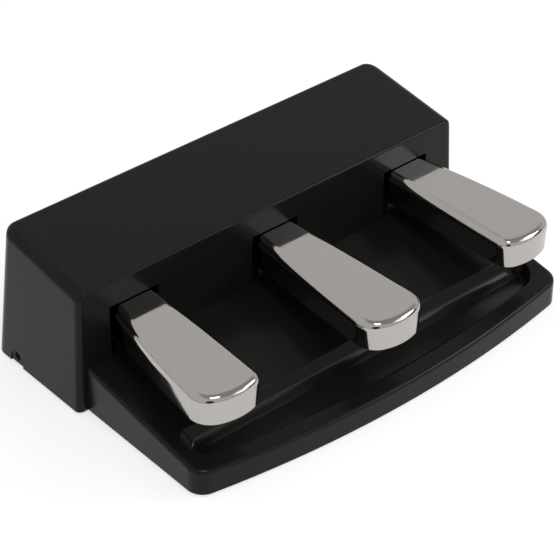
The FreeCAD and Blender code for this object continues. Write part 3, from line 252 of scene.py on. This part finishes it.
def makeSolderMask():
    s = boardFinish
    material, tree, bsdf, place = startMaterial("solderMaskedLaminate", Roughness=0.28, IOR=1.5,
                                                Coat_Weight=0.4, Coat_Roughness=0.12)
    bandScale = math.tau / (20 * s["weave"] * mm)  # the wave texture multiplies its scale by 20
    warp = addNode(tree, "TexWave", {"bands_direction": "X"}, {"Scale": bandScale}, {"Vector": place})
    weft = addNode(tree, "TexWave", {"bands_direction": "Y"}, {"Scale": bandScale}, {"Vector": place})
    cloth = addNode(tree, "Math", {"operation": "MULTIPLY"}, None,
                    {0: warp.outputs["Fac"], 1: weft.outputs["Fac"]})
    tint = addNode(tree, "Mix", {"data_type": "RGBA"},
                   {6: linear(s["colours"][0]), 7: linear(s["colours"][1])}, {0: cloth.outputs[0]})
    tree.links.new(tint.outputs[2], bsdf.inputs["Base Color"])
    bump = addNode(tree, "Bump", None, {"Strength": 0.3, "Distance": s["weaveDepth"] * mm},
                   {"Height": cloth.outputs[0]})
    tree.links.new(bump.outputs["Normal"], bsdf.inputs["Normal"])
    return material


# Moulded rubber of the feet, gland and lower stops: dull black with a grey bloom.
rubberFinish = {"colours": ("#191919", "#2a2a29"), "rough": (0.62, 0.85), "bloom": 5.0,
                "bloomDepth": 0.04}


def makeRubber():
    s = rubberFinish
    material, tree, bsdf, place = startMaterial("mouldedRubber", IOR=1.52, Specular_IOR_Level=0.35)
    bloom = addNode(tree, "TexNoise", None, {"Scale": perSize(s["bloom"]), "Detail": 5.0},
                    {"Vector": place})
    tint = addNode(tree, "Mix", {"data_type": "RGBA"},
                   {6: linear(s["colours"][0]), 7: linear(s["colours"][1])}, {0: bloom.outputs["Fac"]})
    tree.links.new(tint.outputs[2], bsdf.inputs["Base Color"])
    rough = addNode(tree, "MapRange", None, spread(*s["rough"]), {"Value": bloom.outputs["Fac"]})
    tree.links.new(rough.outputs[0], bsdf.inputs["Roughness"])
    bump = addNode(tree, "Bump", None, {"Strength": 0.5, "Distance": s["bloomDepth"] * mm},
                   {"Height": bloom.outputs["Fac"]})
    tree.links.new(bump.outputs["Normal"], bsdf.inputs["Normal"])
    return material


# Pressed wool felt: matted fibres about 0.4 mm apart, half a noise cell, soft at the edges.
feltFinish = {"colours": ("#34513b", "#5d7a60"), "fibreCell": 0.8, "fibreDepth": 0.3}


def makeFelt():
    s = feltFinish
    material, tree, bsdf, place = startMaterial("pressedWoolFelt", Roughness=0.95,
                                                Specular_IOR_Level=0.1, Sheen_Weight=0.35,
                                                Sheen_Roughness=0.5)
    fibre = addNode(tree, "TexNoise", None,
                    {"Scale": perSize(s["fibreCell"]), "Detail": 6.0, "Roughness": 0.8},
                    {"Vector": place})
    tint = addNode(tree, "Mix", {"data_type": "RGBA"},
                   {6: linear(s["colours"][0]), 7: linear(s["colours"][1])}, {0: fibre.outputs["Fac"]})
    tree.links.new(tint.outputs[2], bsdf.inputs["Base Color"])
    bump = addNode(tree, "Bump", None, {"Strength": 1.0, "Distance": s["fibreDepth"] * mm},
                   {"Height": fibre.outputs["Fac"]})
    tree.links.new(bump.outputs["Normal"], bsdf.inputs["Normal"])
    return material


finishes = {"housing_plastic": makeMouldedAbs(), "chrome_plate": makeChromePlate(),
            "plate_paint": makePowderCoat(), "board_laminate": makeSolderMask(), "rubber": makeRubber(),
            "felt": makeFelt()}
finishes.update({slot: makeSteel(slot) for slot in steels})
finishes.update({slot: makePlastic(slot) for slot in plastics})
for node in nodes.values():
    for i, material in enumerate(node.data.materials):
        node.data.materials[i] = finishes[material.name.split(".")[0]]
print("materials made:", len(finishes))


# Return springs: a round wire swept up a helix, its end turns nearly closed and left round. Sizes are in
# millimetres.
springSizes = {"wireRadius": 1.1, "meanRadius": 7.0, "turns": 7.5, "endTurns": 1.0, "endPitch": 2.8,
               "stepsPerTurn": 40, "wireSegments": 14, "weldGap": 0.001}


def makeSpring(side):
    s = springSizes
    low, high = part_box("return_spring_" + side)
    centre = (low + high) / 2
    bottom = low.z + s["wireRadius"] * mm
    rise = high.z - low.z - 2 * s["wireRadius"] * mm
    endRise = s["endTurns"] * s["endPitch"] * mm
    orderAim = Vector((0.23, 0.37, 0.90))
    bm = bmesh.new()
    start = Matrix.Translation((centre.x + s["meanRadius"] * mm, centre.y, bottom))
    start = start @ Matrix.Rotation(math.pi / 2, 4, "X")
    bmesh.ops.create_circle(bm, cap_ends=True, radius=s["wireRadius"] * mm,
                            segments=s["wireSegments"], matrix=start)
    end = list(bm.faces)[0]
    runs = [(s["endTurns"], endRise), (s["turns"] - 2 * s["endTurns"], rise - 2 * endRise),
            (s["endTurns"], endRise)]
    for turns, climb in runs:
        steps = round(turns * s["stepsPerTurn"])
        made = bmesh.ops.spin(bm, geom=[end, *end.edges, *end.verts], cent=centre, axis=(0, 0, 1),
                              dvec=(0, 0, climb / steps), angle=turns * math.tau, steps=steps,
                              use_merge=False)
        end = next(part for part in made["geom_last"] if isinstance(part, bmesh.types.BMFace))
    bmesh.ops.remove_doubles(bm, verts=bm.verts, dist=s["weldGap"] * mm)
    bmesh.ops.recalc_face_normals(bm, faces=bm.faces)
    bm.verts.sort(key=lambda vert: vert.co.dot(orderAim))  # spin's own order changes from run to run
    bm.faces.sort(key=lambda face: face.calc_center_median().dot(orderAim))
    mesh = bpy.data.meshes.new("coil_spring_" + side)
    bm.to_mesh(mesh)
    bm.free()
    for face in mesh.polygons:
        face.use_smooth = len(face.vertices) == 4
    mesh.materials.append(finishes["spring_steel"])
    piece = bpy.data.objects.new("coil_spring_" + side, mesh)
    bpy.context.scene.collection.objects.link(piece)
    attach(piece, "housing")
    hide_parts("return_spring_" + side)
    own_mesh(piece)


for side in sides:
    makeSpring(side)
print("springs made")

# Camera at the photograph's place, the image taken as 560 x 560
cameraSettings = {"place": (-0.729, -0.8436, 0.8565), "turn": (53.64, 0.0, -40.457), "lens": 147.6,
                  "sensor": 36.0}
cameraData = bpy.data.cameras.new("photoCamera")
cameraData.lens = cameraSettings["lens"]
cameraData.sensor_width = cameraSettings["sensor"]
camera = bpy.data.objects.new("photoCamera", cameraData)
camera.location = cameraSettings["place"]
camera.rotation_euler = [math.radians(a) for a in cameraSettings["turn"]]
bpy.context.scene.collection.objects.link(camera)
bpy.context.scene.camera = camera

# Pale floor: a lit white table, so the part stands on white as in the photograph
floorSettings = {"half": 4.0, "colour": "#aeaeae", "glow": 0.66}
bm = bmesh.new()
bmesh.ops.create_grid(bm, x_segments=2, y_segments=2, size=floorSettings["half"])
floorMesh = bpy.data.meshes.new("floor")
bm.to_mesh(floorMesh)
bm.free()
floorMaterial = startMaterial("paleFloor", Roughness=0.9, Specular_IOR_Level=0.0,
                              Base_Color=linear(floorSettings["colour"]),
                              Emission_Color=(1.0, 1.0, 1.0, 1.0),
                              Emission_Strength=floorSettings["glow"])[0]
floorMesh.materials.append(floorMaterial)
floor = bpy.data.objects.new("floor", floorMesh)
bpy.context.scene.collection.objects.link(floor)

# Light: a dome that is dim at the horizon, bright above it and darker again high up towards the right,
# two dark stands that give the chrome its dark accents, a bright card at the front right that lights the
# wall over the pedals by way of their tops, a softbox overhead and one at the front right
worldSettings = {"horizon": 0.55, "band": 0.76, "top": 0.40, "rise": (0.0, 0.30), "fall": (0.74, 0.92),
                 "tilt": (0.30, -0.15, 1.0), "colour": (1.0, 0.98, 0.96, 1.0)}
cards = {
    "leftStand": {"aim": (-0.60, -0.74, 0.29), "inner": 0.975, "outer": 0.930, "factor": 0.03},
    "rightStand": {"aim": (0.80, -0.52, 0.29), "inner": 0.990, "outer": 0.968, "factor": 0.03},
    "frontCard": {"aim": (0.550, -0.600, 0.580), "inner": 0.985, "outer": 0.955, "factor": 3.6},
}
world = bpy.data.worlds.new("studio")
world.use_nodes = True
bpy.context.scene.world = world
sky = world.node_tree
sky.nodes.clear()
direction = addNode(sky, "TexCoord").outputs["Generated"]
w = worldSettings
height = addNode(sky, "SeparateXYZ", None, None, {"Vector": direction}).outputs["Z"]
tilted = addNode(sky, "VectorMath", {"operation": "DOT_PRODUCT"}, {1: w["tilt"]},
                 {0: direction}).outputs["Value"]
rise = addNode(sky, "MapRange", {"interpolation_type": "SMOOTHSTEP"},
               {"From Min": w["rise"][0], "From Max": w["rise"][1], "To Min": w["horizon"],
                "To Max": w["band"]}, {"Value": height})
fall = addNode(sky, "MapRange", {"interpolation_type": "SMOOTHSTEP"},
               {"From Min": w["fall"][0], "From Max": w["fall"][1], "To Min": 0.0,
                "To Max": w["band"] - w["top"]}, {"Value": tilted})
glow = addNode(sky, "Math", {"operation": "SUBTRACT"}, None,
               {0: rise.outputs[0], 1: fall.outputs[0]}).outputs[0]
for card in cards.values():
    aim = Vector(card["aim"]).normalized()
    near = addNode(sky, "VectorMath", {"operation": "DOT_PRODUCT"}, {1: aim},
                   {0: direction}).outputs["Value"]
    shade = addNode(sky, "MapRange", {"interpolation_type": "SMOOTHSTEP"},
                    {"From Min": card["outer"], "From Max": card["inner"], "To Min": 1.0,
                     "To Max": card["factor"]}, {"Value": near})
    glow = addNode(sky, "Math", {"operation": "MULTIPLY"}, None,
                   {0: glow, 1: shade.outputs[0]}).outputs[0]
background = addNode(sky, "Background", None, {"Color": w["colour"]}, {"Strength": glow})
addNode(sky, "OutputWorld", None, None, {"Surface": background.outputs[0]})

panels = {
    "overhead": {"place": (-0.15, -0.46, 1.28), "aim": (0, 0, 0.05), "size": (0.42, 0.50), "power": 4.0},
    "frontRight": {"place": (0.91, -0.63, 0.82), "aim": (0, 0, 0.05), "size": (0.36, 0.55), "power": 3.5},
}
for name, p in panels.items():
    lamp = bpy.data.lights.new(name, "AREA")
    lamp.shape = "RECTANGLE"
    lamp.size, lamp.size_y = p["size"]
    lamp.energy = p["power"]
    panel = bpy.data.objects.new(name, lamp)
    panel.location = p["place"]
    panel.rotation_euler = (Vector(p["aim"]) - Vector(p["place"])).to_track_quat("-Z", "Y").to_euler()
    bpy.context.scene.collection.objects.link(panel)
bpy.context.scene.view_settings.view_transform = "Standard"
print("camera, floor and light made")
